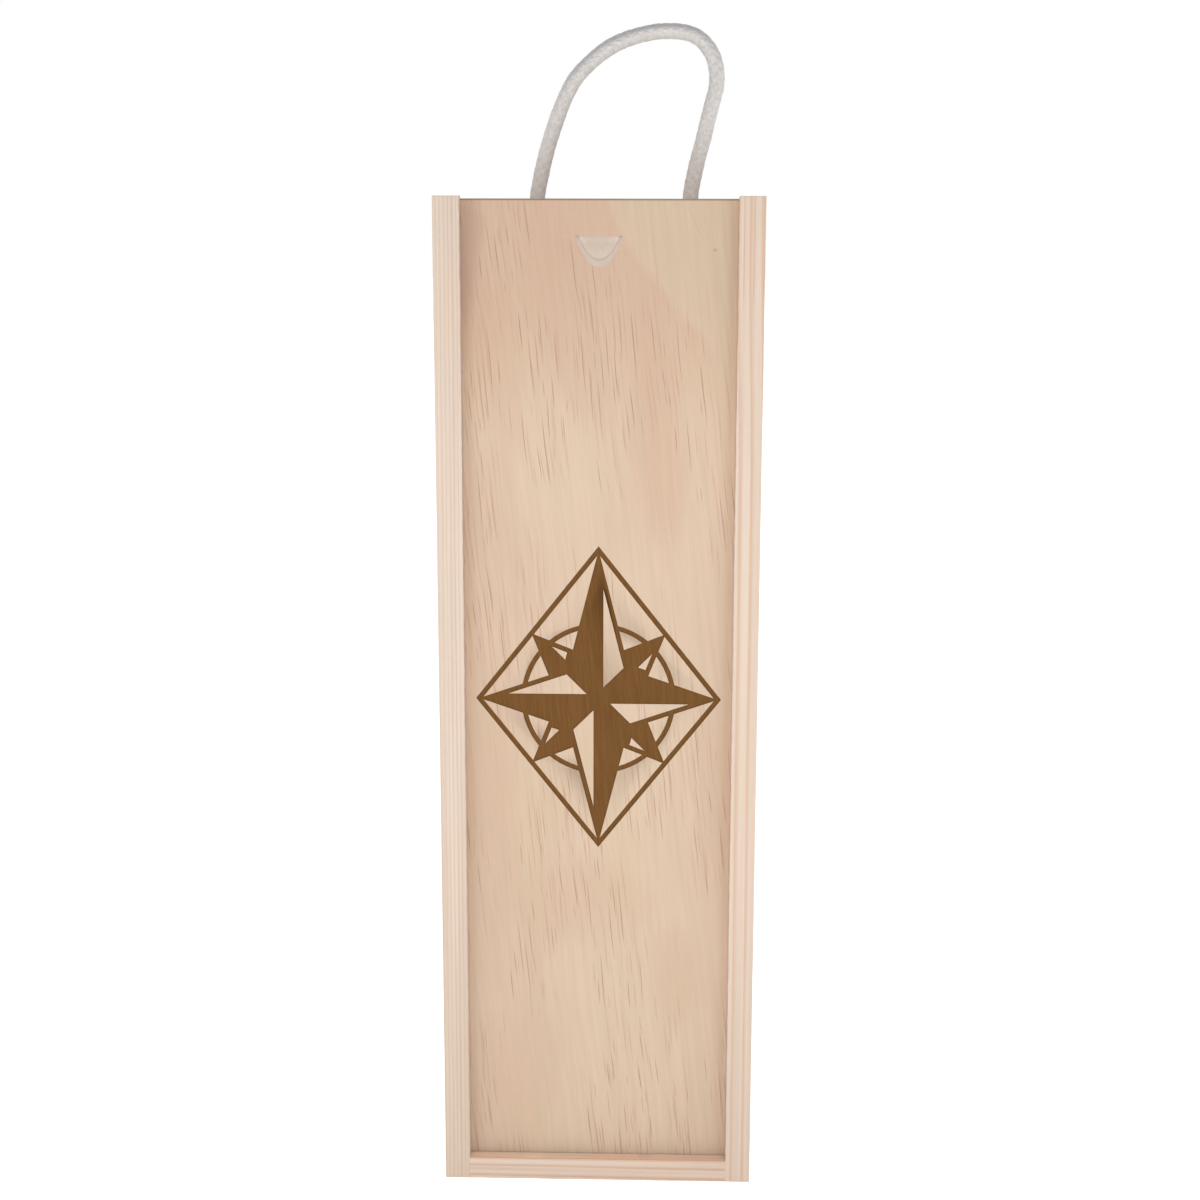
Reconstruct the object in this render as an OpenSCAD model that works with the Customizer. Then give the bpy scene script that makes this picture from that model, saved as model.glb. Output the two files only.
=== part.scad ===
// Upright one-bottle box of planed pine boards with a sliding plywood lid and a rope handle.
// The box stands on its bottom board. Origin: the middle of its footprint, on the ground.
// +Z is up, the lid faces -Y, and +X is to the right of someone who looks at the lid.

/* [Box] */
// Outside width, over both side boards
box_w = 110; // [92:1:140]
// Outside depth, from the front lips to the back panel
box_d = 100; // [83:1:130]
// Outside height, which is the length of the lips in front of the lid
box_h = 350; // [290:1:420]

/* [Boards] */
// Thickness of the side boards
side_t = 8.5; // [7:0.5:12]
// Thickness of the top board
top_t = 8; // [6.5:0.5:12]
// Thickness of the bottom board
bottom_t = 8; // [6.5:0.5:12]
// Thickness of the plywood back panel
back_t = 4; // [3:0.5:6]
// Width of the rebate in each side board that takes the back panel
rebate_w = 4; // [3:0.5:6]
// Gap left between the back panel's edges and its rebates
back_gap = 0.2; // [0:0.1:0.5]
// How far all that lies behind the lips stays below their upper ends
top_drop = 1; // [0:0.25:3]

/* [Sliding lid] */
// Thickness of the plywood lid
lid_t = 4; // [3:0.5:6]
// Thickness of the lips in front of the lid
lip_t = 5; // [3.5:0.5:8]
// Depth of the grooves that hold the lid
groove_depth = 4; // [3:0.5:5.5]
// Play of the lid in its grooves, in front and behind
lid_play = 0.3; // [0.2:0.05:0.6]
// Play between the lid's long edges and the bottoms of the side grooves
lid_edge_play = 0.4; // [0.2:0.05:0.8]
// Gap under the shut lid, down to the bottom of the lower groove
lid_seat_gap = 0.3; // [0.2:0.05:0.6]
// How far the shut lid's upper edge stays below the tops of the lips
lid_top_drop = 1; // [0.5:0.25:4]

/* [Thumb notch] */
// Width of the notch at its straight upper edge
notch_w = 16.4; // [10:0.2:24]
// Height of the notch, from its upper edge to where it runs out in the face
notch_h = 10.4; // [6:0.2:16]
// Depth of the notch at its straight upper edge
notch_depth = 2.6; // [1.4:0.2:2.8]
// Distance from the tops of the lips down to the notch's upper edge
notch_drop = 13; // [8:0.1:30]

/* [Burnt star] */
// Bare wood between the side boards and the middle of the star's frame line
star_margin = 5; // [3:0.5:15]
// Half of the star's height, to the middle of its frame line
star_half_h = 52.5; // [36:0.5:70]
// Height of the star's centre above the ground
star_z = 178.5; // [110:0.5:200]
// Distance from the star's centre to where two long rays meet
star_waist_r = 15; // [12:0.5:18]
// Distance from the star's centre to where two short rays meet, behind the long ones
star_base_r = 14; // [12:0.5:18]
// Middle radius of the ring behind the rays
star_ring_r = 26; // [20:0.5:28]
// Width of the burnt lines
star_line_w = 1.7; // [1:0.1:2.5]
// Depth of the burnt design
star_depth = 0.3; // [0.1:0.1:0.6]

/* [Rope handle] */
// Diameter of the rope
rope_d = 5.5; // [4:0.5:7]
// Gap between the rope and its holes, all round
rope_hole_gap = 0.5; // [0.2:0.1:1]
// Gap between the loop's rounded ends and the rope in the holes
rope_joint_gap = 0.3; // [0.2:0.1:0.5]
// Diameter of the knot on each end of the rope
knot_d = 15; // [11:0.5:18]
// Gap between each knot and the rim of its hole
knot_gap = 0.2; // [0.1:0.1:0.5]
// Length of rope that hangs free below each knot
rope_tail = 10; // [5:1:20]

/* [Brads] */
// Diameter of the brads' shanks
brad_d = 1.3; // [1:0.1:1.6]
// Diameter of the brads' heads
brad_head_d = 2.2; // [1.8:0.1:2.8]
// Thickness of the brads' heads
brad_head_t = 0.6; // [0.4:0.1:1]
// Length of a brad's point
brad_point = 1.6; // [1:0.1:2.5]
// Gap between the brads and the wood, all round
brad_gap = 0.05; // [0.02:0.01:0.1]
// Length of the brads that hold the side boards to the top and bottom boards
corner_brad_len = 20; // [16:1:25]
// Distance between neighbouring brads in a corner
corner_brad_pitch = 30; // [22:1:32]
// Distance from the back of the box to the last brad of each corner
corner_brad_inset = 12; // [10:1:16]
// Length of the brads that hold the back panel
back_brad_len = 16; // [12:1:20]
// Number of back panel brads along each side board
back_brad_rows = 5; // [3:1:7]
// Distance from the ends of the box to the first and last of those brads
back_brad_inset = 28; // [20:1:40]
// Distance between the two back panel brads in the top board, and in the bottom board
back_brad_gap = 44; // [30:1:60]

/* [Hidden] */
$fn = 48;

// Anything that a cut must pass through is cut this much longer.
through = 1;

// The top of the box behind the lips, and the front, back, sides and top of the space inside it
inner_half_w = box_w / 2 - side_t;
front_y = -box_d / 2;
back_y = box_d / 2;
panel_y = back_y - back_t;
roof_z = box_h - top_drop;
ceiling_z = roof_z - top_t;

// The grooves that the lid runs in, and the lid
groove_y = front_y + lip_t;
groove_w = lid_t + 2 * lid_play;
groove_back_y = groove_y + groove_w;
groove_floor_z = bottom_t - groove_depth;
lid_y = groove_y + lid_play;
lid_half_w = inner_half_w + groove_depth - lid_edge_play;
lid_z = groove_floor_z + lid_seat_gap;
lid_top_z = box_h - lid_top_drop;

// The gouge that cuts the thumb notch: its radius, and its slope to the lid's face
notch_z = box_h - notch_drop;
gouge_r = (pow(notch_w / 2, 2) + pow(notch_depth, 2)) / (2 * notch_depth);
gouge_slope = atan(notch_depth / notch_h);

// The star's frame is a lozenge whose corners are the tips of the four long rays.
star_half_w = inner_half_w - star_margin;

// The rope. Its holes are off centre, as on the real box.
hole_x = [-23, 31];
hole_r = rope_d / 2 + rope_hole_gap;
pivot_h = rope_joint_gap + rope_d / 2;
knot_drop = sqrt(pow(knot_d / 2 + knot_gap, 2) - pow(hole_r, 2));

// The loop's middle line between its ends, as x and height above the top board
loop_route = [
    [-21, 11.5], [-19, 19], [-16.5, 26.5], [-13.5, 34], [-10, 40.5], [-4.5, 46.5],
    [3, 52], [12, 55.5], [21.5, 57], [30.5, 56], [36, 52], [39, 46],
    [39.5, 39], [38, 32.5], [36.5, 26.5], [35, 20], [33, 12.5]
];
rope_sides = 12;
end_rings = 4;

// ---------- boards ----------

// A board from its lowest corner to its highest one
module board(low, high) {
    translate(low) cube(high - low);
}

// Side board on the +X side, with the lid's groove and the back panel's rebate. Only its front
// lip reaches full height, because the photo shows nothing behind it above the lid.
module side_board() {
    difference() {
        board([inner_half_w, front_y, 0], [box_w / 2, back_y, box_h]);
        board([inner_half_w - through, groove_y, roof_z],
              [box_w / 2 + through, back_y + through, box_h + through]);
        board([inner_half_w - through, groove_y, groove_floor_z],
              [inner_half_w + groove_depth, groove_back_y, box_h + through]);
        board([inner_half_w - through, panel_y, -through],
              [inner_half_w + rebate_w, back_y + through, box_h + through]);
        corner_brad_set(brad_gap);
        back_brad_set(brad_gap);
    }
}

module left_side_board() {
    color("#e0c8b0") mirror([1, 0, 0]) side_board();
}

module right_side_board() {
    color("#e6cfb8") side_board();
}

// The top board stops behind the lid, so that the lid can slide up past it.
module top_board() {
    color("#dcc0a2") difference() {
        board([-inner_half_w, groove_back_y, ceiling_z], [inner_half_w, panel_y, roof_z]);
        for (x = hole_x) translate([x, 0, ceiling_z - through])
            cylinder(r = hole_r, h = top_t + 2 * through);
        brad_holes();
    }
}

// The bottom board reaches the front and has the groove that stops the lid.
module bottom_board() {
    color("#dbc0aa") difference() {
        board([-inner_half_w, front_y, 0], [inner_half_w, panel_y, bottom_t]);
        board([-inner_half_w - through, groove_y, groove_floor_z],
              [inner_half_w + through, groove_back_y, bottom_t + through]);
        brad_holes();
    }
}

module back_panel() {
    panel_half_w = inner_half_w + rebate_w - back_gap;
    color("#d8bf9c") difference() {
        board([-panel_half_w, panel_y, 0], [panel_half_w, back_y, roof_z]);
        brad_holes();
    }
}

// ---------- lid ----------

// A round gouge cut that runs down and out to the face, cut off square at its upper edge
module thumb_notch() {
    intersection() {
        translate([0, lid_y + notch_depth, notch_z])
            rotate([-gouge_slope, 0, 0])
                translate([0, -gouge_r, -2 * notch_h])
                    cylinder(r = gouge_r, h = 4 * notch_h, $fn = 96);
        board([-notch_w, lid_y - 2 * gouge_r, notch_z - 2 * notch_h],
              [notch_w, lid_y + lid_t, notch_z]);
    }
}

function polar(r, a) = [r * cos(a), r * sin(a)];

// Tip of the ray in the direction a, on the middle line of the frame
function tip(a) = polar(1 / (abs(cos(a)) / star_half_w + abs(sin(a)) / star_half_h), a);

// Where the line through p and q crosses the line through r and s
function crossing(p, q, r, s) = p + (q - p) * cross(r - p, s - r) / cross(q - p, s - r);

// The four long rays lie in front. Half of one, on one side of its middle line
function long_facet(a, side) = [[0, 0], tip(a), polar(star_waist_r, a + side * 45)];

// The four short rays lie behind. The half of one that the long rays leave to be seen
function short_facet(a, side) =
    let (waist = polar(star_waist_r, a), next = a + side * 45)
    [waist, tip(a), crossing(polar(star_base_r, next), tip(a), waist, tip(next))];

// A triangle's corners moved inwards, so that its sides move by the width w
function inset(t, w) =
    let (
        a = norm(t[1] - t[2]),
        b = norm(t[2] - t[0]),
        c = norm(t[0] - t[1]),
        middle = (a * t[0] + b * t[1] + c * t[2]) / (a + b + c),
        inner_r = abs(cross(t[1] - t[0], t[2] - t[0])) / (a + b + c)
    )
    [for (p = t) middle + (p - middle) * (1 - w / inner_r)];

module rays() {
    for (a = [0:90:270]) {
        polygon([[0, 0], polar(star_waist_r, a - 45), tip(a), polar(star_waist_r, a + 45)]);
        polygon([[0, 0], polar(star_base_r, a), tip(a + 45), polar(star_base_r, a + 90)]);
    }
}

module ring() {
    difference() {
        circle(r = star_ring_r + star_line_w / 2, $fn = 96);
        circle(r = star_ring_r - star_line_w / 2, $fn = 96);
    }
}

// The lozenge frame joins the tips of the rays.
module frame() {
    corners = [[star_half_w, 0], [0, star_half_h], [-star_half_w, 0], [0, -star_half_h]];
    half_line = star_line_w / 2 * norm([star_half_w, star_half_h]) / (star_half_w * star_half_h);
    difference() {
        polygon((1 + half_line) * corners);
        polygon((1 - half_line) * corners);
    }
}

// One half of each ray is burnt all over, and the other half is only outlined.
module star() {
    difference() {
        union() {
            rays();
            ring();
            frame();
        }
        for (a = [0:90:270]) {
            polygon(inset(long_facet(a, -1), star_line_w));
            polygon(inset(short_facet(a + 45, -1), star_line_w));
        }
    }
}

module burnt_star() {
    translate([0, lid_y + star_depth, star_z]) rotate([90, 0, 0])
        linear_extrude(star_depth + through) star();
}

module sliding_lid() {
    color("#dcc2a8") difference() {
        board([-lid_half_w, lid_y, lid_z], [lid_half_w, lid_y + lid_t, lid_top_z]);
        thumb_notch();
        burnt_star();
    }
}

// ---------- brads ----------

// A brad along -Z with its head's top at the origin, grown all round by extra
module brad(len, extra) {
    translate([0, 0, -brad_head_t - extra]) cylinder(d = brad_head_d + 2 * extra, h = brad_head_t + extra);
    translate([0, 0, brad_point - len]) cylinder(d = brad_d + 2 * extra, h = len - brad_point);
    translate([0, 0, -len - extra])
        cylinder(d1 = brad_d / 4 + 2 * extra, d2 = brad_d + 2 * extra, h = brad_point + extra);
}

// Brads through the +X side board into the ends of the top and bottom boards
module corner_brad_set(extra) {
    for (z = [bottom_t / 2, roof_z - top_t / 2], i = [0:2])
        translate([box_w / 2, back_y - corner_brad_inset - i * corner_brad_pitch, z])
            rotate([0, 90, 0]) brad(corner_brad_len, extra);
}

// Brads through the back panel into the +X side board, and into the top and bottom boards
module back_brad_set(extra) {
    pitch = (box_h - 2 * back_brad_inset) / (back_brad_rows - 1);
    for (i = [0:back_brad_rows - 1])
        translate([inner_half_w + rebate_w / 2, back_y, back_brad_inset + i * pitch])
            rotate([-90, 0, 0]) brad(back_brad_len, extra);
    for (z = [bottom_t / 2, roof_z - top_t / 2])
        translate([back_brad_gap / 2, back_y, z]) rotate([-90, 0, 0]) brad(back_brad_len, extra);
}

module both_sides() {
    children();
    mirror([1, 0, 0]) children();
}

module brad_holes() {
    both_sides() {
        corner_brad_set(brad_gap);
        back_brad_set(brad_gap);
    }
}

module corner_brads() {
    color("#b8b8b4") both_sides() corner_brad_set(0);
}

module back_panel_brads() {
    color("#b8b8b4") both_sides() back_brad_set(0);
}

// ---------- rope ----------

// The loop's whole middle line, from pivot to pivot
loop_line = concat([[hole_x[0], pivot_h]], loop_route, [[hole_x[1], pivot_h]]);
loop_last = len(loop_line) - 1;

// Unit vector along the loop at its point i
function loop_dir(i) =
    let (step = loop_line[min(i + 1, loop_last)] - loop_line[max(i - 1, 0)])
    step / norm(step);

// One ring of the rope's surface round the point p, square to the direction d
function rope_ring(p, d, r) =
    [for (k = [0:rope_sides - 1])
        let (a = k * 360 / rope_sides, out = r * cos(a))
        [p[0] - d[1] * out, r * sin(a), roof_z + p[1] + d[0] * out]];

// Rings that round off an end of the loop at its pivot
function round_end(i, outward) =
    [for (k = [1:end_rings])
        let (a = outward > 0 ? 90 * k / (end_rings + 0.5) : 90 * (end_rings + 1 - k) / (end_rings + 0.5))
        rope_ring(loop_line[i] + outward * sin(a) * rope_d / 2 * loop_dir(i), loop_dir(i),
                  cos(a) * rope_d / 2)];

// A closed skin over rings of equal size, one after another
module skin(rings) {
    sides = len(rings[0]);
    last = len(rings) - 1;
    points = [for (ring = rings, p = ring) p];
    walls = [for (j = [0:last - 1], k = [0:sides - 1])
        let (a = j * sides + k, b = j * sides + (k + 1) % sides)
        each [[a, b, b + sides], [a, b + sides, a + sides]]];
    first_cap = [for (k = [1:sides - 2]) [0, k + 1, k]];
    last_cap = [for (k = [1:sides - 2]) [last * sides, last * sides + k, last * sides + k + 1]];
    polyhedron(points = points, faces = concat(walls, first_cap, last_cap));
}

// The free loop, rounded at both ends, where it bends over the mouths of its holes
module rope_handle() {
    middle = [for (i = [0:loop_last]) rope_ring(loop_line[i], loop_dir(i), rope_d / 2)];
    color("#dedad4") skin(concat(round_end(0, -1), middle, round_end(loop_last, 1)));
}

// The rope through one hole, its knot under the top board, and the tail below the knot
module rope_end(x) {
    knot_z = ceiling_z - knot_drop;
    tail_z = knot_z - knot_d / 2 - rope_tail;
    color("#d2ccc2") translate([x, 0, 0]) {
        translate([0, 0, tail_z]) cylinder(d = rope_d, h = roof_z - tail_z);
        translate([0, 0, knot_z]) sphere(d = knot_d);
    }
}

module left_rope_end() {
    rope_end(hole_x[0]);
}

module right_rope_end() {
    rope_end(hole_x[1]);
}

// ---------- assembly ----------

left_side_board();
right_side_board();
top_board();
bottom_board();
back_panel();
sliding_lid();
corner_brads();
back_panel_brads();
rope_handle();
left_rope_end();
right_rope_end();
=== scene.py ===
# %% [markdown]
# # A wooden box for one bottle
# An upright pine box has a sliding plywood lid and a rope handle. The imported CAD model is
# loaded first. It holds every part at its real size and place, so each piece modelled below
# goes exactly where the frame says, and moves with the same body.

# %% Load the frame
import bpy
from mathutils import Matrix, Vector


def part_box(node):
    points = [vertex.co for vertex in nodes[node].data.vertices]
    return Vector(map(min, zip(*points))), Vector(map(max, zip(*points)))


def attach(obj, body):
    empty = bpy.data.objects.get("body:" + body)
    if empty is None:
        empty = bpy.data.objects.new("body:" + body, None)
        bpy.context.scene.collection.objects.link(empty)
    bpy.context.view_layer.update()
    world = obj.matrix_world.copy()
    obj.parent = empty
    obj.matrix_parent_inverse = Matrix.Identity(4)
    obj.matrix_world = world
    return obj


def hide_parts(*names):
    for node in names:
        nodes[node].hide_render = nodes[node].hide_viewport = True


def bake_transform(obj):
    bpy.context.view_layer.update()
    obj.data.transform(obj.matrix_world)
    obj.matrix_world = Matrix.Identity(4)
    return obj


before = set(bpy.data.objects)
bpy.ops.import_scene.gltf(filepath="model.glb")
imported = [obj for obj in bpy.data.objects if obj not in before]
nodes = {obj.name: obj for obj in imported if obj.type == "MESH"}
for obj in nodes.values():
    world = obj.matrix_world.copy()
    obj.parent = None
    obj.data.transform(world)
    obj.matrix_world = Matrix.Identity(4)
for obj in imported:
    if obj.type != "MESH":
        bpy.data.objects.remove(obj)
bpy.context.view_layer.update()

# %% Tools and units
import math

import bpy
import numpy as np
from mathutils import Matrix, Vector

mm = 0.001

side_low, side_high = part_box("right_side_board")
inner = round(side_low.x / mm, 2)
outer = round(side_high.x / mm, 2)
print("side boards reach in mm from", inner, "to", outer, "on each side of the middle")

# %% [markdown]
# ## Camera
# The camera stands level with the top of the box, which is why the photograph shows nothing of
# the top board. It looks down, turned slightly to the left. Its place and focal length were
# worked out from the four corners of the front face.

# %% Camera
photo_width = 1200
focal_pixels = 1997.1
sensor_width = 36.0
camera_at = Vector((20.53, -718.25, 350.0)) * mm
looks_down = math.radians(11.443)
turned_left = math.radians(1.703)
rolled = math.radians(0.0958)

bpy.ops.object.select_all(action="DESELECT")
bpy.ops.object.camera_add(location=camera_at)
camera = bpy.context.active_object
camera.name = "camera"
heading = Matrix.Rotation(turned_left, 4, "Z")
tilt = Matrix.Rotation(math.radians(90) - looks_down, 4, "X")
roll = Matrix.Rotation(rolled, 4, "Z")
camera.matrix_world = Matrix.Translation(camera_at) @ heading @ tilt @ roll
camera.data.sensor_width = sensor_width
camera.data.lens = focal_pixels * sensor_width / photo_width
bpy.context.scene.camera = camera
print("lens in mm:", round(camera.data.lens, 2))

# %% [markdown]
# ## The line of the rope
# The handle is one length of soft braided cotton rope. It comes up through two holes in the
# top board and stands in a leaning loop. A few points along its middle line are enough: a
# smooth curve goes through them and is then cut into even steps.

# %% The line of the rope
roof_level = 349
roof = roof_level * mm
rope_diameter = 5.5 * mm
rope_inside = 5.2 * mm
left_hole_x = -23 * mm
right_hole_x = 31 * mm
loop_points = [
    (-23.3, -5.2), (-23.25, -1.5), (-22.75, 3.05), (-21, 11.5), (-19, 19), (-16.5, 26.5), (-13.5, 34),
    (-10, 40.5), (-4.5, 46.5), (3, 52), (12, 55.5), (21.5, 57), (30.5, 56), (36, 52), (39, 46),
    (39.5, 39), (38, 32.5), (36.5, 26.5), (35, 20), (33, 12.5), (31.1, 3.05), (30.75, -1.5),
    (30.7, -5.2),
]


def smooth_line(points, steps=20):
    """Points along a smooth line through the given ones (Catmull-Rom)."""
    points = np.array(points, float)
    first = 2 * points[0] - points[1]
    last = 2 * points[-1] - points[-2]
    corners = np.vstack([first, points, last])
    line = []
    for a, b, c, d in zip(corners, corners[1:], corners[2:], corners[3:]):
        for t in np.arange(steps) / steps:
            bend = (2 * a - 5 * b + 4 * c - d) * t**2 + (3 * b - a - 3 * c + d) * t**3
            line.append(b + 0.5 * ((c - a) * t + bend))
    line.append(points[-1])
    return np.array(line)


def even_steps(line, step=None, count=None):
    """The same line with points about a step apart, or a count of points, and their step."""
    pieces = np.linalg.norm(np.diff(line, axis=0), axis=1)
    reached = np.concatenate([[0], np.cumsum(pieces)])
    stops = np.linspace(0, reached[-1], count or round(reached[-1] / step) + 1)
    points = np.stack([np.interp(stops, reached, line[:, k]) for k in range(3)], axis=1)
    return points, stops[1]


ring_step = 0.6 * mm
loop_line = smooth_line([(x * mm, 0, roof + up * mm) for x, up in loop_points])
loop_line, _ = even_steps(loop_line, ring_step)

# %% [markdown]
# ## Braiding the rope
# A braided cord has a soft core and a sleeve of sixteen flat strands. Eight run round it to
# the left and eight to the right, and each passes over two strands and under two. A texture
# could only suggest that, so every strand is swept as real geometry: its section has three
# rounded yarns, and its distance from the middle rises and falls as it passes over and under.
# Maths suits this better than modelling tools, because the pattern is exact.

# %% Braiding the rope
strands_each_way = 8
strand_lead = 27 * mm
strand_thickness = 0.42 * mm
over_and_under = 0.17 * mm
strand_middle = rope_diameter / 2 - strand_thickness - over_and_under
strand_width = 0.98 * mm
yarn_section = np.array([
    (-1, 0), (-0.72, 0.82), (-0.36, 0.62), (0, 1), (0.36, 0.62), (0.72, 0.82), (1, 0),
    (0.55, -0.9), (-0.55, -0.9),
])
print("strands:", 2 * strands_each_way, "each with a section of", len(yarn_section), "corners")

# %% Rings along a line


def directions_along(line):
    """The direction of the line at each point, and two directions square to it."""
    ahead = np.gradient(line, axis=0)
    ahead /= np.linalg.norm(ahead, axis=1)[:, None]
    side = np.array([0.0, 1.0, 0.0])
    if abs(ahead[0] @ side) > 0.9:
        side = np.array([1.0, 0.0, 0.0])
    sides = []
    for direction in ahead:
        side = side - direction * (side @ direction)
        side = side / np.linalg.norm(side)
        sides.append(side)
    sides = np.array(sides)
    return ahead, sides, np.cross(ahead, sides)


def tube(rings, first_vertex):
    """Faces that join rings of vertices into a closed tube."""
    count, around = rings
    ring = np.arange(count - 1)[:, None] * around
    here = np.arange(around)[None, :]
    after = (here + 1) % around
    quads = np.stack([ring + here, ring + after, ring + around + after, ring + around + here], -1)
    faces = (quads.reshape(-1, 4) + first_vertex).tolist()
    last = first_vertex + (count - 1) * around
    faces.append([first_vertex + k for k in reversed(range(around))])
    faces.append([last + k for k in range(around)])
    return faces


# %% Selecting and tidying


def select_only(piece):
    """Makes one object the only selected and active one."""
    bpy.ops.object.select_all(action="DESELECT")
    piece.select_set(True)
    bpy.context.view_layer.objects.active = piece


def tidy(piece, smooth_angle=20):
    """Turns all normals outwards and smooths the rounded surfaces."""
    select_only(piece)
    bpy.ops.object.mode_set(mode="EDIT")
    bpy.ops.mesh.select_all(action="SELECT")
    bpy.ops.mesh.normals_make_consistent(inside=False)
    bpy.ops.object.mode_set(mode="OBJECT")
    bpy.ops.object.shade_smooth_by_angle(angle=math.radians(smooth_angle))


# %% One cord
frayed_length = 5 * mm


def braid(name, line, seed, frayed=0.0):
    """A braided cord along a line. Its last few millimetres spread out where it is frayed."""
    rng = np.random.default_rng(seed)
    ahead, side, up = directions_along(line)
    count = len(line)
    along = ring_step * np.arange(count)
    spread = np.clip((along - along[-1] + frayed_length) / frayed_length, 0, 1) ** 2 * frayed
    slow = np.interp(along, np.linspace(0, along[-1], 24), rng.normal(0, 0.012, 24))
    vertices, faces, lengthwise, across = [], [], [], []

    def add(rings):
        start = sum(len(v) for v in vertices)
        vertices.append(rings.reshape(-1, 3))
        faces.extend(tube(rings.shape[:2], start))
        lengthwise.append(np.repeat(along, rings.shape[1]))
        across.append(np.tile(np.arange(rings.shape[1]) / rings.shape[1], count))

    core_angle = np.linspace(0, 2 * np.pi, 16, endpoint=False)
    core_out = np.cos(core_angle)[None, :, None] * side[:, None] \
        + np.sin(core_angle)[None, :, None] * up[:, None]
    core_radius = strand_middle * 0.93
    add(line[:, None] + core_out * core_radius)
    for way in (1, -1):
        for k in range(strands_each_way):
            slack = np.interp(along, np.linspace(0, along[-1], 40), rng.normal(0, 0.05, 40) * mm)
            turn = way * (2 * np.pi * along / strand_lead) + 2 * np.pi * k / strands_each_way
            crossing = 2 * strands_each_way * along / strand_lead
            lift = way * np.cos(np.pi / 2 * (2 * k + way * crossing - 0.5))
            lift = np.tanh(1.6 * lift) / np.tanh(1.6)
            radius = strand_middle * (1 + slow + spread * (0.6 + rng.random()))
            radius = radius + over_and_under * lift + 0.6 * slack
            out = np.cos(turn)[:, None] * side + np.sin(turn)[:, None] * up
            middle = line + out * radius[:, None]
            forward = np.gradient(middle, axis=0)
            forward /= np.linalg.norm(forward, axis=1)[:, None]
            sideways = np.cross(forward, out)
            sideways /= np.linalg.norm(sideways, axis=1)[:, None]
            outward = np.cross(sideways, forward)
            width = yarn_section[:, 0][None, :, None] * sideways[:, None] * strand_width
            height = yarn_section[:, 1][None, :, None] * outward[:, None] * strand_thickness
            add(middle[:, None] + width + height)
    mesh = bpy.data.meshes.new(name)
    mesh.from_pydata(np.vstack(vertices).tolist(), [], faces)
    layer = mesh.uv_layers.new(name="strand")
    corner = np.zeros(len(mesh.loops), np.int32)
    mesh.loops.foreach_get("vertex_index", corner)
    uv = np.stack([np.concatenate(lengthwise)[corner] / mm, np.concatenate(across)[corner]], -1)
    layer.data.foreach_set("uv", uv.ravel().astype(np.float32))
    mesh.update()
    cord = bpy.data.objects.new(name, mesh)
    bpy.context.scene.collection.objects.link(cord)
    tidy(cord, smooth_angle=70)
    return cord


rope = braid("cotton_rope_loop", loop_line, seed=3)
print("faces in the loop:", len(rope.data.polygons))

# %% [markdown]
# ## The knots
# Each end of the rope is stopped by an overhand knot under the top board. A knot is hard to
# draw by hand, but easy to tie: a loose knot has a simple formula, and pulling its two ends
# while the rope keeps its length and thickness tightens it as on the real box.

# %% Tying the knot


def tie_knot(points=56, rounds=1200):
    """The middle line of a tight overhand knot in millimetres, with its ends along Z."""
    t = np.linspace(2.25, -2.25, 600)
    loose = 2.2 * np.stack([t**3 - 3 * t, t**4 - 4 * t**2, 0.55 * (t**5 - 10 * t)], axis=1)
    line, step = even_steps(loose, count=points)
    thickness = rope_diameter / mm
    apart = round(1.3 * thickness / step)
    far_up, pull, stiffness = np.array([0, 0, 60]), 0.006, 0.12
    one, other = np.triu_indices(points, apart)
    for turn in range(rounds):
        contact = 2.5 + (0.84 * thickness - 2.5) * min(1, 2 * turn / rounds)
        line[0] += (far_up - line[0]) * pull
        line[-1] += (-far_up - line[-1]) * pull
        for _ in range(3):
            line[1:-1] += stiffness * ((line[:-2] + line[2:]) / 2 - line[1:-1])
            for start in (0, 1):
                a = line[start:-1:2]
                b = line[start + 1::2][:len(a)]
                gap = b - a
                length = np.linalg.norm(gap, axis=1, keepdims=True)
                change = 0.5 * gap * (length - step) / length
                a += change
                b -= change
            gap = line[other] - line[one]
            length = np.linalg.norm(gap, axis=1)
            close = length < contact
            push = gap[close] / length[close, None] * (contact - length[close])[:, None] / 4
            np.add.at(line, one[close], -push)
            np.add.at(line, other[close], push)
    return line


knot_line = tie_knot()
in_knot = np.hypot(knot_line[:, 0], knot_line[:, 1]) > 1
knot_half = np.abs(knot_line[in_knot][:, 2]).max() + rope_diameter / mm / 2
print("height of the knot in mm:", round(2 * knot_half, 1))

# %% Rope ends
ceiling = 341
tail_end = 316.6 * mm
knot_play = 0.2 * mm
knot_middle = ceiling * mm - knot_play - knot_half * mm


def rope_end(name, x, turned, seed):
    """The rope inside one hole, its knot, and the frayed tail below."""
    c, s = math.cos(turned), math.sin(turned)
    flat = knot_line[:, :2] @ np.array([[c, s], [-s, c]])
    line = np.column_stack([x + flat[:, 0] * mm, flat[:, 1] * mm, knot_middle + knot_line[:, 2] * mm])
    line = smooth_line(line, 8)
    line = line[(line[:, 2] < roof - rope_inside - 0.1 * mm) & (line[:, 2] > tail_end)]
    line, _ = even_steps(line, ring_step)
    return braid(name, line, seed, frayed=0.28)


left_end = rope_end("left_rope_knot", left_hole_x, turned=0.4, seed=5)
right_end = rope_end("right_rope_knot", right_hole_x, turned=2.5, seed=6)
print("faces in a knot:", len(left_end.data.polygons))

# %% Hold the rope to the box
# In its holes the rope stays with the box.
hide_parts("rope_handle")
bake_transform(rope)
for knot, node in ((left_end, "left_rope_end"), (right_end, "right_rope_end")):
    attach(knot, "box")
    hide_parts(node)

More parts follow.
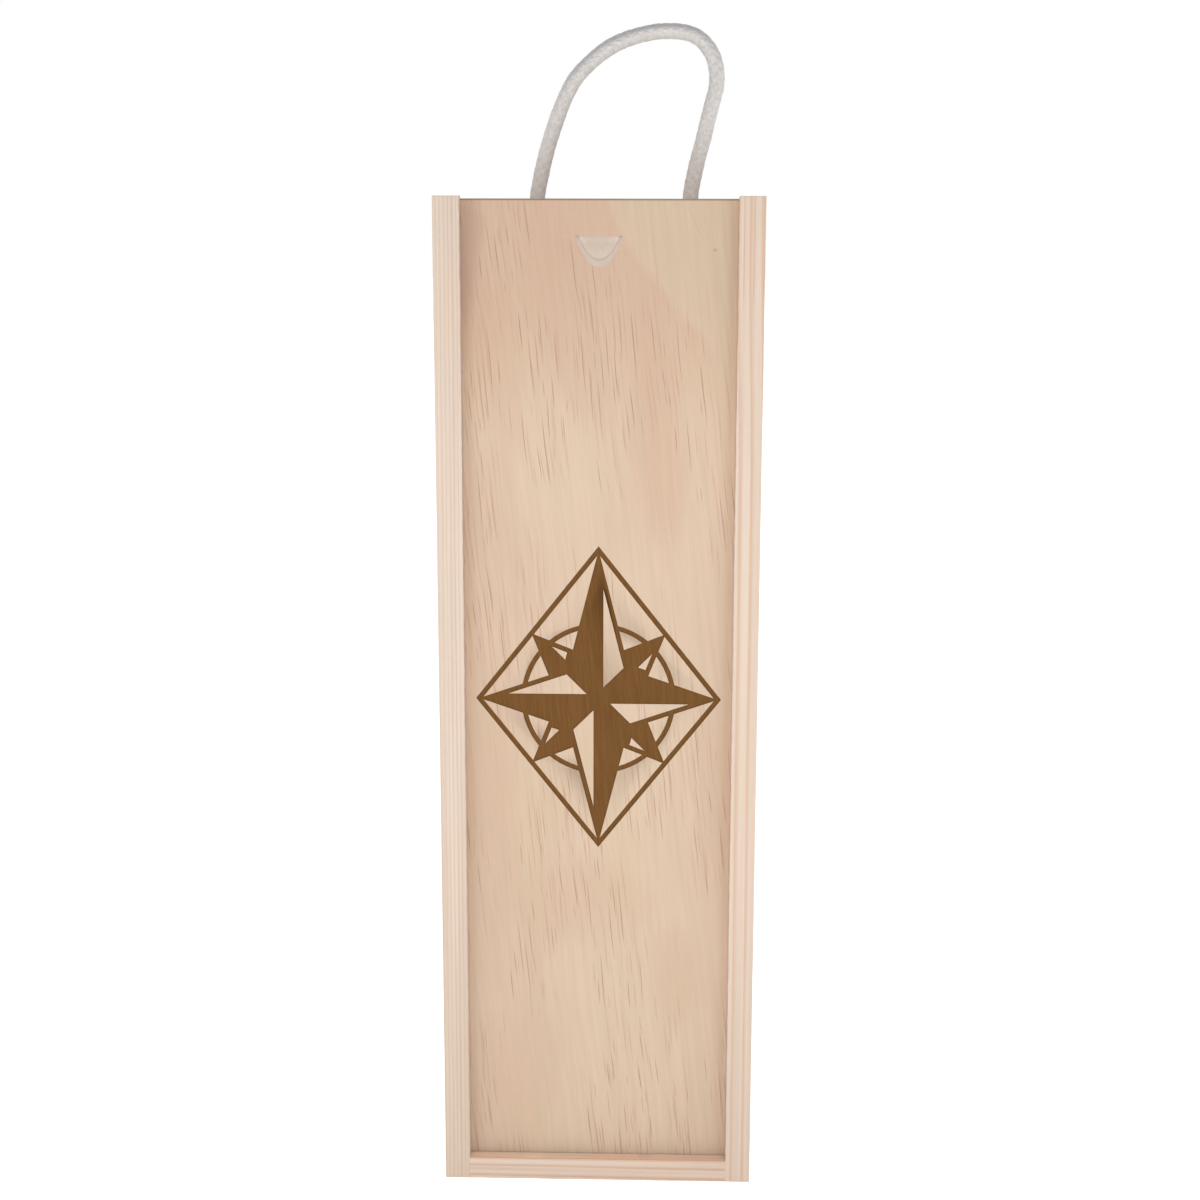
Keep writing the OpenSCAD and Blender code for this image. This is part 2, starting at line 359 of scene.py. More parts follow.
# %% [markdown]
# ## Boards
# The box is made of thin sawn pine boards, nailed together. Each board starts as a block at
# its real size, then it is worked as in a workshop: a router cuts the grooves and rebates, a
# drill the holes, and sandpaper takes off the sharp edges. In Blender the router and the
# drill are Boolean cuts, and the sandpaper is a Bevel. The long edges are then divided into
# short steps and moved by a little smooth noise, which is the wear.

# %% Places of the boards, in millimetres
front, lip_back, groove_back, panel_front, back = -50, -45, -40.4, 46, 50
groove_floor, floor_top, lip_top = 4, 8, 350
groove_deep = 4
panel_reach = 3.8
rope_hole_radius = 3.25
past = 1  # how far a cutter reaches past the wood, to leave no skin
print("the lips are", lip_back - front, "mm thick")

# %% A block, and how to select its parts


def block(name, low, high):
    """A rectangular block between two corners, given in millimetres."""
    low, high = Vector(low) * mm, Vector(high) * mm
    bpy.ops.object.select_all(action="DESELECT")
    bpy.ops.mesh.primitive_cube_add(size=1, location=(low + high) / 2, scale=high - low)
    piece = bpy.context.active_object
    piece.name = name
    piece.data.name = name
    bpy.ops.object.transform_apply(location=True, rotation=True, scale=True)
    return piece


def select_parts(piece, kind, wanted):
    """Selects only the faces or edges for which wanted is true, and stays in edit mode."""
    select_only(piece)
    bpy.ops.object.mode_set(mode="EDIT")
    bpy.ops.mesh.select_mode(type=kind)
    bpy.ops.mesh.select_all(action="DESELECT")
    bpy.ops.object.mode_set(mode="OBJECT")
    for part in piece.data.polygons if kind == "FACE" else piece.data.edges:
        part.select = wanted(part)
    bpy.ops.object.mode_set(mode="EDIT")


# %% Cutting and sanding


def apply_modifier(piece, kind, **settings):
    """Adds a modifier with its settings and applies it."""
    select_only(piece)
    modifier = piece.modifiers.new(kind.lower(), kind)
    for name, value in settings.items():
        setattr(modifier, name, value)
    bpy.ops.object.modifier_apply(modifier=modifier.name)


def cut(piece, cutter):
    """Cuts the shape of another object out of a piece."""
    apply_modifier(piece, "BOOLEAN", operation="DIFFERENCE", solver="EXACT", object=cutter)


def saw(piece, low, high):
    """Cuts away everything between two corners."""
    cutter = block("cutter", low, high)
    cut(piece, cutter)
    bpy.data.objects.remove(cutter)


def join_flat(piece):
    """Merges double vertices and joins neighbouring faces that lie in one plane."""
    select_only(piece)
    bpy.ops.object.mode_set(mode="EDIT")
    bpy.ops.mesh.select_all(action="SELECT")
    bpy.ops.mesh.remove_doubles(threshold=0.001 * mm)
    bpy.ops.mesh.dissolve_limited(angle_limit=math.radians(0.5))
    bpy.ops.object.mode_set(mode="OBJECT")


def soften(piece, width):
    """Takes the sharp edges off."""
    apply_modifier(
        piece, "BEVEL", width=width * mm, segments=2, limit_method="ANGLE",
        angle_limit=math.radians(40),
    )


# %% Wear on the edges


def slice_along(piece, axis, step):
    """Adds edge rings along a piece, so that its long edges can wander."""
    corners = np.array([v.co for v in piece.data.vertices])
    low, high = corners[:, axis].min(), corners[:, axis].max()
    normal = [0, 0, 0]
    normal[axis] = 1
    select_only(piece)
    bpy.ops.object.mode_set(mode="EDIT")
    for at in np.arange(low + step * mm, high - 0.5 * step * mm, step * mm):
        bpy.ops.mesh.select_all(action="SELECT")
        place = [0, 0, 0]
        place[axis] = at
        bpy.ops.mesh.bisect(plane_co=place, plane_no=normal)
    bpy.ops.object.mode_set(mode="OBJECT")


def wander(piece, chosen, size, depth, direction="NORMAL", shift=0.0):
    """Moves the chosen vertices in and out by smooth noise, and all by the shift, in mm."""
    group = piece.vertex_groups.new(name="worn")
    group.add([int(k) for k in chosen], 1.0, "REPLACE")
    texture = bpy.data.textures.new("wear", "CLOUDS")
    texture.noise_scale = size * mm
    apply_modifier(
        piece, "DISPLACE", texture=texture, strength=depth * mm, mid_level=0.5 - shift / depth,
        direction=direction, texture_coords="LOCAL", vertex_group="worn",
    )
    piece.vertex_groups.remove(piece.vertex_groups["worn"])


def edge_vertices(piece):
    """The vertices whose normal leans, which are those on the softened edges."""
    normals = np.array([v.normal for v in piece.data.vertices])
    return np.flatnonzero(np.abs(normals).max(axis=1) < 0.985)


# %% Where the brads are, in millimetres
board_middles_z = (4, 345)
corner_brads_y = (38, 8, -22)
side_brads_z = (28, 101.5, 175, 248.5, 322)
end_brads_x = 22


def brad_pattern():
    """Where each brad's head lies, and which way it points, in millimetres."""
    brads = []
    for side in (-1, 1):
        for z in board_middles_z:
            for y in corner_brads_y:
                brads.append(((side * outer, y, z), (-side, 0, 0)))
        for z in side_brads_z:
            brads.append(((side * (inner + groove_deep / 2), back, z), (0, -1, 0)))
        for z in board_middles_z:
            brads.append(((side * end_brads_x, back, z), (0, -1, 0)))
    return brads


# %% The hole of one brad


def brad_hole():
    """The space of one brad along -Z, in mm: a wide hole for the head, a narrow one below."""
    head_r, shank_r, head_deep, shank_deep = 1.15, 0.7, 0.65, 19.4
    bpy.ops.object.select_all(action="DESELECT")
    bpy.ops.mesh.primitive_cylinder_add(
        vertices=20, radius=head_r * mm, depth=(head_deep + 1) * mm,
        location=(0, 0, (1 - head_deep) / 2 * mm),
    )
    hole = bpy.context.active_object
    bpy.ops.object.transform_apply(location=True, rotation=True, scale=True)
    select_parts(hole, "FACE", lambda face: face.normal.z < -0.9)
    bpy.ops.mesh.inset(thickness=(head_r - shank_r) * mm)
    bpy.ops.mesh.extrude_region_move(
        TRANSFORM_OT_translate={"value": (0, 0, -(shank_deep - head_deep) * mm)}
    )
    bpy.ops.object.mode_set(mode="OBJECT")
    return hole


# %% All brad holes
one_hole = brad_hole()
holes = []
for place, direction in brad_pattern():
    copy = bpy.data.objects.new("hole", one_hole.data.copy())
    bpy.context.scene.collection.objects.link(copy)
    turn = Vector((0, 0, -1)).rotation_difference(Vector(direction)).to_matrix().to_4x4()
    copy.data.transform(Matrix.Translation(Vector(place) * mm) @ turn)
    holes.append(copy)
bpy.data.objects.remove(one_hole)
bpy.ops.object.select_all(action="DESELECT")
for copy in holes:
    copy.select_set(True)
bpy.context.view_layer.objects.active = holes[0]
bpy.ops.object.join()
brad_cutter = bpy.context.active_object
print("brad holes:", len(brad_pattern()))

# %% [markdown]
# ## Side boards
# Each side board has a groove near its front edge, in which the lid slides, and a rebate at
# the back, in which the back panel lies. Only the lip in front of the lid reaches full height.
# The router leaves the lip a bit ragged, and that shows as an uneven line down its inside.

# %% Side boards


def side_board(name, side, torn):
    """One side board: side is -1 on the left and 1 on the right. Torn fibres widen the inside
    of the lip by about the given millimetres."""

    def span(one, other):
        return sorted((side * one, side * other))

    low_x, high_x = span(inner, outer)
    board = block(name, (low_x, front, 0), (high_x, back, lip_top))
    low_x, high_x = span(inner - past, inner + groove_deep)
    saw(board, (low_x, lip_back, groove_floor), (high_x, groove_back, lip_top + past))
    saw(board, (low_x, panel_front, -past), (high_x, back + past, lip_top + past))
    low_x, high_x = span(inner - past, outer + past)
    saw(board, (low_x, lip_back, roof_level), (high_x, back + past, lip_top + past))
    join_flat(board)
    soften(board, 0.3)
    slice_along(board, 2, 2)
    wander(board, edge_vertices(board), size=9, depth=0.12)
    places = np.array([v.co for v in board.data.vertices]) / mm
    lip = (np.abs(places[:, 0] - side * inner) < 0.6) & (places[:, 1] < lip_back + 0.6)
    wander(board, np.flatnonzero(lip), size=3, depth=0.4, direction="X", shift=-side * torn)
    cut(board, brad_cutter)
    tidy(board)
    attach(board, "box")
    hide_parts(name.replace("_plank", "_board"))
    return board


left_side = side_board("left_side_plank", -1, torn=0.45)
right_side = side_board("right_side_plank", 1, torn=0.25)
print("faces in a side board:", len(left_side.data.polygons))

# %% [markdown]
# ## Top and bottom boards
# Both lie between the side boards, with their grain across the box. The top board stops
# behind the lid, so that the lid can slide up, and has two holes for the rope. The
# bottom board reaches the front, with a groove in which the lid's foot stands.

# %% Top board
top_board = block("top_plank", (-inner, groove_back, ceiling), (inner, panel_front, roof_level))
for x in (left_hole_x, right_hole_x):
    bpy.ops.mesh.primitive_cylinder_add(
        vertices=48, radius=rope_hole_radius * mm, depth=12 * mm,
        location=(x, 0, (ceiling + roof_level) / 2 * mm),
    )
    drill = bpy.context.active_object
    cut(top_board, drill)
    bpy.data.objects.remove(drill)
soften(top_board, 0.3)
slice_along(top_board, 0, 3)
wander(top_board, edge_vertices(top_board), size=7, depth=0.2)
cut(top_board, brad_cutter)
tidy(top_board)
print("faces in the top board:", len(top_board.data.polygons))

# %% Bottom board
bottom_board = block("bottom_plank", (-inner, front, 0), (inner, panel_front, floor_top))
saw(
    bottom_board, (-inner - past, lip_back, groove_floor),
    (inner + past, groove_back, floor_top + past),
)
soften(bottom_board, 0.3)
slice_along(bottom_board, 0, 2)
wander(bottom_board, edge_vertices(bottom_board), size=6, depth=0.3)
cut(bottom_board, brad_cutter)
tidy(bottom_board)
print("faces in the bottom board:", len(bottom_board.data.polygons))

# %% Back panel
panel_half = inner + panel_reach
back_panel = block(
    "back_sheet", (-panel_half, panel_front, 0), (panel_half, back, roof_level)
)
soften(back_panel, 0.2)
slice_along(back_panel, 2, 5)
wander(back_panel, edge_vertices(back_panel), size=8, depth=0.15)
cut(back_panel, brad_cutter)
tidy(back_panel)
bpy.data.objects.remove(brad_cutter)

for piece, node, slot in (
    (top_board, "top_board", "pine_boards"),
    (bottom_board, "bottom_board", "pine_boards"),
    (back_panel, "back_panel", "plywood_back"),
):
    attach(piece, "box")
    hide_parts(node)
print("faces in the back panel:", len(back_panel.data.polygons))

# %% [markdown]
# ## Lid
# The lid is one sheet of thin plywood. The CAD model already has its thumb notch and its
# burnt star, so a copy of that mesh is taken, its loose triangles are joined into clean
# faces, and only the sheet's outer edges are sanded, because a laser leaves the star crisp.

# %% Lid
lid_low, lid_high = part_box("sliding_lid")
lid = bpy.data.objects.new("lid_sheet", nodes["sliding_lid"].data.copy())
bpy.context.scene.collection.objects.link(lid)
join_flat(lid)


def on_outer_edge(piece, edge, low, high, near=0.01 * mm):
    """Whether an edge lies along one of the twelve edges of the box between two corners."""
    ends = [piece.data.vertices[k].co for k in edge.vertices]
    planes = 0
    for axis in range(3):
        for limit in (low[axis], high[axis]):
            if all(abs(end[axis] - limit) < near for end in ends):
                planes += 1
    return planes >= 2


sanded_edge = 0.35 * mm
select_parts(lid, "EDGE", lambda edge: on_outer_edge(lid, edge, lid_low, lid_high))
bpy.ops.mesh.bevel(offset=sanded_edge, segments=2, affect="EDGES")
bpy.ops.object.mode_set(mode="OBJECT")
tidy(lid)
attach(lid, "lid")
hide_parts("sliding_lid")
print("faces in the lid:", len(lid.data.polygons))

# %% [markdown]
# ## Writing shaders as sums
# A wood pattern is mostly arithmetic: distances, waves and masks. One small class wraps a
# socket, so that a formula can be written as a formula, and one method adds any other node.

# %% Colours
# The lamps and the sky show a surface half as bright again as its own colour, so each tone is
# dimmed by this share, and the render then shows the tone that was asked for.
light_share = 0.65


def tone(red, green, blue):
    """A colour from its eight-bit screen values, as Blender's linear colour."""
    linear = []
    for value in (red, green, blue):
        part = value / 255
        linear.append(part / 12.92 if part < 0.04045 else ((part + 0.055) / 1.055) ** 2.4)
    return (*[light_share * part for part in linear], 1.0)


# %% Sockets as numbers


class Wire:
    """An output socket in a material, which can be used in Python sums."""

    def __init__(self, tree, socket):
        self.tree = tree
        self.socket = socket

    def node(self, kind, settings=(), inputs=(), out=0):
        """Adds a node: its settings come first, then the values or links of its sockets."""
        made = self.tree.nodes.new(kind)
        for name, value in dict(settings).items():
            setattr(made, name, value)
        for name, value in dict(inputs).items():
            if isinstance(value, Wire):
                self.tree.links.new(value.socket, made.inputs[name])
            else:
                made.inputs[name].default_value = value
        return Wire(self.tree, made.outputs[out])

    def sum(self, operation, *values):
        return self.node("ShaderNodeMath", {"operation": operation}, dict(enumerate(values)))

    def __add__(self, other):
        return self.sum("ADD", self, other)

    def __sub__(self, other):
        return self.sum("SUBTRACT", self, other)

    def __rsub__(self, other):
        return self.sum("SUBTRACT", other, self)

    def __mul__(self, other):
        return self.sum("MULTIPLY", self, other)

    def __truediv__(self, other):
        return self.sum("DIVIDE", self, other)

    def __pow__(self, other):
        return self.sum("POWER", self, other)

    __radd__ = __add__
    __rmul__ = __mul__

    def size(self):
        return self.sum("ABSOLUTE", self)

    def sine(self):
        return self.sum("SINE", self)

    def whole(self):
        return self.sum("FLOOR", self)

    def rise(self, low, high):
        """0 below low and 1 above high, with a smooth rise between."""
        settings = {"interpolation_type": "SMOOTHSTEP"}
        return self.node("ShaderNodeMapRange", settings, {"Value": self, 1: low, 2: high})

    def fall(self, low, high):
        """1 below low and 0 above high."""
        return 1 - self.rise(low, high)

    def mix(self, mask, other):
        """This colour where the mask is 0 and the other colour where it is 1."""
        settings = {"data_type": "RGBA"}
        return self.node("ShaderNodeMix", settings, {0: mask, 6: self, 7: other}, out=2)

    def tint(self, red, green, blue):
        """This colour with each of its three parts made lighter or darker by a factor."""
        factors = self.node("ShaderNodeCombineColor", {}, {0: red, 1: green, 2: blue})
        settings = {"data_type": "RGBA", "blend_type": "MULTIPLY"}
        return self.node("ShaderNodeMix", settings, {0: 1.0, 6: self, 7: factors}, out=2)

    def shade(self, amount):
        """This colour made lighter or darker by a factor."""
        return self.tint(amount, amount, amount)

    def noise(self, x, y, z, detail=2.0, rough=0.5, seed=0.0):
        """Smooth noise from 0 to 1 on three coordinates, which set its size each way."""
        place = self.node("ShaderNodeCombineXYZ", {}, {0: x, 1: y, 2: z + seed})
        inputs = {"Vector": place, "Scale": 1.0, "Detail": detail, "Roughness": rough}
        return self.node("ShaderNodeTexNoise", {}, inputs)

    def random(self):
        """A random number from 0 to 1 for each whole number."""
        return self.node("ShaderNodeTexWhiteNoise", {"noise_dimensions": "1D"}, {"W": self})


# %% A material


class Finish:
    """A material: it starts with the places it can read, and ends with the shader."""

    def __init__(self, name):
        self.material = bpy.data.materials.new(name)
        self.material.use_nodes = True
        self.tree = self.material.node_tree
        self.shader = self.tree.nodes["Principled BSDF"]
        self.start = Wire(self.tree, None)
        place = self.start.node("ShaderNodeTexCoord", out="Object")
        self.x = place.node("ShaderNodeSeparateXYZ", {}, {0: place}, out=0)
        split = self.x.socket.node
        self.y = Wire(self.tree, split.outputs[1])
        self.z = Wire(self.tree, split.outputs[2])
        self.texture_place = place.socket.node

    def facing(self, axis):
        """How far the surface faces along an axis, from -1 to 1."""
        normal = Wire(self.tree, self.texture_place.outputs["Normal"])
        return normal.node("ShaderNodeSeparateXYZ", {}, {0: normal}, out=axis)

    def colour(self, rgba):
        """A plain colour as a wire, to start a mix from."""
        made = self.start.node("ShaderNodeRGB")
        made.socket.default_value = rgba
        return made

    def finish(self, colour, roughness, height=None, deep=0.05, constants=()):
        """Links what varies to the shader and sets what doesn't."""
        for name, value in (("Base Color", colour), ("Roughness", roughness)):
            if isinstance(value, Wire):
                self.tree.links.new(value.socket, self.shader.inputs[name])
            else:
                self.shader.inputs[name].default_value = value
        if height is not None:
            inputs = {"Height": height, "Distance": deep * mm, "Strength": 1.0}
            bump = self.start.node("ShaderNodeBump", {}, inputs)
            self.tree.links.new(bump.socket, self.shader.inputs["Normal"])
        for name, value in dict(constants).items():
            self.shader.inputs[name].default_value = value
        print(self.material.name, "has", len(self.tree.nodes), "nodes")
        return self.material


def dress(piece, material):
    """Gives a piece one material."""
    piece.data.materials.clear()
    piece.data.materials.append(material)


# %% [markdown]
# ## Pine
# Pine is drawn as solid wood: growth rings are nested cylinders round a pith outside the
# board, so the front edge shows lines and an end shows curved rings, and they all meet.
# Behind the front edge slow noise swells and dents the cylinders as in a real trunk, which
# gives the wide faces their arches and closed loops. Each ring is pale early wood that
# darkens to a thin orange line. Fine fibres give the board a matt, slightly uneven sheen.

# %% Pine
matt_wood = {"Specular IOR Level": 0.35}
half_height = 175 * mm


def pine(
    name, along, pith, lean, rings, pale, warm, line, seed, line_strength, drift=3.0, bend=0.0,
):
    """Solid pine. Along is the axis of the grain, the pith is a point across it in mm, and
    lean is how fast it moves aside along the grain. Rings are their distance from each other,
    the radius of one of them, and how evenly dark they are, from 0 to 1. They wander by the
    drift and bend aside near the top of the box by the bend, both in mm."""
    ring_gap, ring_at, even = rings
    wood = Finish(name)
    across, deep, length = {
        "z": (wood.x, wood.y, wood.z),
        "x": (wood.z, wood.y, wood.x),
    }[along]
    slow = across.noise(across * 9, deep * 9, length * 5, detail=2, seed=seed) - 0.5
    wave = across.noise(across * 30, deep * 30, length * 16, detail=1, seed=seed + 7) - 0.5
    moved = slow * (drift * mm) + wave * (0.2 * drift * mm)
    aside = across - pith[0] * mm - lean[0] * length + moved
    aside = aside + wood.z.rise(250 * mm, 345 * mm) * (bend * mm)
    inward = deep - pith[1] * mm - lean[1] * length
    radius = (aside ** 2 + inward ** 2) ** 0.5
    turns = (radius - ring_at * mm) / (ring_gap * mm)
    hill = across.noise(deep * 16, length * 2.5, across * 10, detail=1, seed=seed + 11) - 0.5
    behind_edge = wood.y.rise(-46 * mm, -20 * mm)
    turns = turns + behind_edge * (hill * 24 - turns * 0.6) + 40
    ring = turns.whole()
    phase = turns - ring
    late = phase.rise(0.55, 0.9) * phase.fall(0.93, 1.0)
    late = late * (even + (1 - even) * ring.random())
    fibre = across.noise(across * 1500, deep * 1500, length * 35, detail=3, rough=0.6, seed=seed)
    band = across.noise(across * 420, deep * 420, length * 6, detail=2, seed=seed + 3)
    cloud = across.noise(across * 35, deep * 35, length * 9, detail=2, seed=seed + 5)
    colour = wood.colour(pale).mix(band.rise(0.35, 0.68), warm)
    colour = colour.mix(late * line_strength, line)
    end = wood.facing({"z": 2, "x": 0}[along]).size().rise(0.6, 0.9)
    colour = colour.mix(end * 0.35, line)
    mottle = across.noise(across * 700, deep * 700, length * 150, detail=2, seed=seed + 9)
    colour = colour.shade(0.89 + 0.13 * fibre + 0.07 * cloud + 0.04 * mottle - 0.05 * end)
    # Painted shade: the wood is darker toward the top and bottom of the box, where the light falls
    # off.
    from_middle = (wood.z / half_height - 1).size()
    colour = colour.shade(1.0 - 0.11 * from_middle ** 2)
    height = fibre * 0.7 + late * 0.5
    roughness = 0.66 + 0.16 * fibre
    return wood, colour, roughness, height


def finish_pine(piece, parts):
    """Closes a pine material and puts it on a piece."""
    wood, colour, roughness, height = parts
    dress(piece, wood.finish(colour, roughness, height, deep=0.05, constants=matt_wood))


# %% Left side board
wood, colour, roughness, height = pine(
    "pine_left", "z", pith=(-108, -58), lean=(0.001, 0.02), rings=(1.38, 53.9, 0.55),
    pale=tone(232, 213, 195), warm=tone(226, 204, 187), line=tone(203, 168, 142), seed=1.0,
    line_strength=0.52, drift=1.2,
)
yellower = wood.z.fall(20 * mm, 160 * mm) * 0.6
colour = colour.mix(yellower, colour.shade(0.97).tint(1.0, 0.985, 0.93))
finish_pine(left_side, (wood, colour, roughness, height))

# %% Right side board
wood, colour, roughness, height = pine(
    "pine_right", "z", pith=(118, -66), lean=(-0.0005, 0.004), rings=(3.9, 68.3, 0.85),
    pale=tone(234, 213, 195), warm=tone(227, 204, 186), line=tone(212, 164, 122), seed=4.2,
    line_strength=0.5, drift=1.2, bend=1.5,
)
line_gap = 3.3 * mm
close_lines = (wood.x * (2 * math.pi / line_gap) - 1.856).sine().rise(0.82, 1.0)
near_top = wood.z.rise(310 * mm, 322 * mm) * wood.y.fall(-45 * mm, -30 * mm)
colour = colour.mix(close_lines * near_top * 0.5, tone(206, 160, 126))
finish_pine(right_side, (wood, colour, roughness, height))

# %% Top and bottom boards
finish_pine(top_board, pine(
    "pine_top", "x", pith=(300, 30), lean=(0.02, 0.02), rings=(3.0, 41.0, 0.4),
    pale=tone(229, 208, 186), warm=tone(224, 198, 172), line=tone(205, 160, 120), seed=7.6,
    line_strength=0.6,
))
wood, colour, roughness, height = pine(
    "pine_bottom", "x", pith=(60, -64), lean=(-0.006, 0.01), rings=(3.75, 57.4, 0.8),
    pale=tone(238, 217, 199), warm=tone(226, 199, 177), line=tone(202, 152, 118), seed=9.4,
    line_strength=0.5, drift=1.6,
)
# Painted light: the top of the lip in front of the lid is made paler and warmer, in place of light
# falling on it.
painted_light_on_lip = wood.z.rise(7.6 * mm, 7.9 * mm) * wood.y.fall(-46 * mm, -45 * mm)
arris = wood.z.rise(7.3 * mm, 7.7 * mm) * wood.y.fall(-49.6 * mm, -49.2 * mm)
colour = colour.mix(painted_light_on_lip, colour.tint(1.33, 1.22, 1.12))
colour = colour.mix(arris * 0.5, tone(206, 158, 126))
finish_pine(bottom_board, (wood, colour, roughness, height))

# %% [markdown]
# ## Plywood lid
# The lid's face is a sheet of veneer peeled from a log, so it has no straight rings: it has
# soft clouds of cream, pink and yellow, and bundles of short reddish-brown dashes that lean a
# few degrees. Each dash is a cut vessel of the wood, so it is drawn as one stroke of its own:
# a grid of cells holds at most one stroke each, and random numbers choose which cells.

# %% Strokes of the veneer


def strokes(across, length, spacing, reach, wide, seed, crowd):
    """Short tapered strokes, at most one in each cell of a grid with shifted columns. The
    spacing, reach and width are in mm, and crowd says how many cells have one."""
    column_place = across / (spacing * mm) + seed
    column = column_place.whole()
    row_place = length / (reach * mm) + column.random() * 9
    row = row_place.whole()
    cell = column * 97 + row * 13 + seed
    half_length = 0.16 + 0.34 * (cell + 0.3).random()
    middle = 0.35 + 0.3 * (cell + 0.6).random()
    from_middle = (row_place - row - 0.5).size() / half_length
    half_width = 0.5 * wide / spacing * (1 - from_middle ** 2)
    aside = (column_place - column - middle).size()
    stroke = (half_width - aside).rise(0, 0.35 * wide / spacing)
    shown = (crowd - cell.random()).rise(0, 0.3)
    return stroke * shown


# %% Zones of the veneer
# Each zone has the x and z of its middle, its half width and half height, how far it leans
# to the right on its way down, and how strong its colour is. Places and sizes are in mm.
pink_zones = [
    ((-13, 316), (14, 50), 0.25, 0.6),
    ((20, 270), (12, 55), 0.1, 0.7),
    ((-34, 292), (10, 44), 0.05, 0.4),
    ((-6, 104), (32, 20), 0.0, 0.45),
    ((28, 77), (14, 26), 0.0, 0.45),
    ((-26, 38), (18, 36), 0.0, 0.45),
    ((-37, 130), (12, 80), 0.0, 0.4),
    ((41, 145), (9, 50), 0.0, 0.4),
]
cream_zones = [
    ((-10, 255), (24, 28), 0.2, 0.6),
    ((5, 68), (20, 44), 0.1, 0.5),
    ((33, 232), (12, 26), 0.0, 0.4),
]


def zone_mask(x, z, middle, reach, lean, warp):
    """1 in the middle of a soft oval zone, and 0 outside it."""
    down = middle[1] * mm - z
    aside = (x - middle[0] * mm - lean * down - warp * (12 * mm)) / (reach[0] * mm)
    return (aside ** 2 + (down / (reach[1] * mm)) ** 2).fall(0.0, 1.0)


# %% Directions on the lid
# The dashes follow the length, which leans to the left on its way up. The warp bends them.
sanded_veneer = {"Specular IOR Level": 0.2}
ply = Finish("plywood_lid_finish")
x, y, z = ply.x, ply.y, ply.z
from_centre = x.size()
depth = y - lid_low.y
slant = math.radians(6)
warp = x.noise(x * 45, z * 24, 0, detail=1, seed=1.0) - 0.5
across = x * math.cos(slant) + z * math.sin(slant) + warp * (2.2 * mm)
length = z * math.cos(slant) - x * math.sin(slant)
print("the grain leans", round(math.degrees(slant)), "degrees")

# %% Clouds and zones
cloud = x.noise(x * 16, z * 6, 0, detail=3, seed=2.0)
patch = x.noise(x * 34, z * 11, 0, detail=2, seed=5.0)
streak = x.noise(across * 420, length * 9, 0, detail=3, rough=0.6, seed=15.0).rise(0.3, 0.7)
colour = ply.colour(tone(224, 199, 174)).mix(cloud.rise(0.42, 0.62) * 0.5, tone(217, 187, 164))
colour = colour.mix(patch.rise(0.45, 0.7) * 0.45, tone(220, 197, 167))
right_of_curve = (x - (roof - z) * 0.62 - warp * (16 * mm)).rise(1 * mm, 7 * mm)
upper = z.rise(265 * mm, 325 * mm)
pinker = upper * (1 - right_of_curve) * (0.45 + 0.4 * streak)
colour = colour.mix(pinker, tone(209, 175, 151))
colour = colour.mix(upper * right_of_curve * 0.8, tone(212, 189, 163))
for middle, reach, lean, strength in pink_zones:
    zone = zone_mask(x, z, middle, reach, lean, warp)
    colour = colour.mix(zone * strength * (0.25 + 0.75 * streak), tone(212, 176, 151))
for middle, reach, lean, strength in cream_zones:
    zone = zone_mask(x, z, middle, reach, lean, warp)
    colour = colour.mix(zone * strength * (1 - 0.6 * streak), tone(223, 202, 176))
colour = colour.shade(0.97 + 0.06 * streak)
print("zones:", len(pink_zones) + len(cream_zones))

# %% Beside the lips
# Painted shade makes the face warmer and darker beside the lips, and painted light makes it pale
# close to them, but neither goes inside the grooves.
outside_groove = from_centre.fall(46.6 * mm, 47.6 * mm)
painted_warm_shade = from_centre.rise(40.5 * mm, 46.2 * mm) * outside_groove
colour = colour.mix(painted_warm_shade * 0.8, colour.tint(1.0, 0.95, 0.9))
# Painted light: a pale strip close to each lip.
painted_light_by_lip = from_centre.rise(44 * mm, 46.5 * mm) * outside_groove
colour = colour.mix(painted_light_by_lip, colour.tint(1.22, 1.21, 1.25))
# Painted shade: darker and redder beside the left lip near the top.
painted_shade_left_top = zone_mask(x, z, (-45, 328), (6, 40), 0.0, warp)
colour = colour.mix(painted_shade_left_top, colour.tint(0.86, 0.83, 0.85))

# %% Strokes on the lid
fibre = x.noise(across * 1600, length * 60, y * 1600, detail=2, seed=41.0)
bundle = x.noise(x * 42, z * 15, 0, detail=1, seed=21.0).rise(0.36, 0.62)
crowd = bundle * (1 - 0.8 * right_of_curve * upper) * (1 - 0.3 * x.rise(0.0, 30 * mm))
long_strokes = strokes(across, length, 2.2, 32, 0.46, seed=3.0, crowd=crowd * 0.8)
short_strokes = strokes(across, length, 1.5, 17, 0.4, seed=8.0, crowd=crowd * 0.55)
faint_strokes = strokes(across, length, 1.8, 42, 0.8, seed=5.0, crowd=crowd * 0.8 + 0.15)
colour = colour.mix(faint_strokes * 0.45, tone(206, 166, 142))
colour = colour.mix(short_strokes * 0.55, tone(186, 144, 124))
colour = colour.mix(long_strokes * (0.45 + 0.5 * fibre), tone(180, 134, 114))
# Painted shade: the face is a little darker toward the top and bottom of the box, where the light
# falls off.
from_middle = (z / half_height - 1).size()
colour = colour.shade(1.0 - 0.05 * from_middle ** 2)

# %% A speck and a scratch
from_speck = ((x - 38.5 * mm) ** 2 + (z - 332.4 * mm) ** 2) ** 0.5
colour = colour.mix(from_speck.fall(0.2 * mm, 0.7 * mm) * 0.55, tone(150, 132, 118))
from_scratch = (x - 29.4 * mm - (347 * mm - z) * 0.42).size()
scratch = from_scratch.fall(0.05 * mm, 0.3 * mm)
scratch = scratch * z.rise(336.5 * mm, 338.5 * mm) * z.fall(345 * mm, 347 * mm)
colour = colour.mix(scratch * 0.3, tone(190, 162, 138))

# %% [markdown]
# ### Notch and star
# The notch cuts through the face sheet into the paler core, with a thin grey line of glue
# between them. The burnt star is dark wherever the surface lies deeper than the face. Both are
# coloured by depth, so each edge of colour is exactly an edge of the cut.

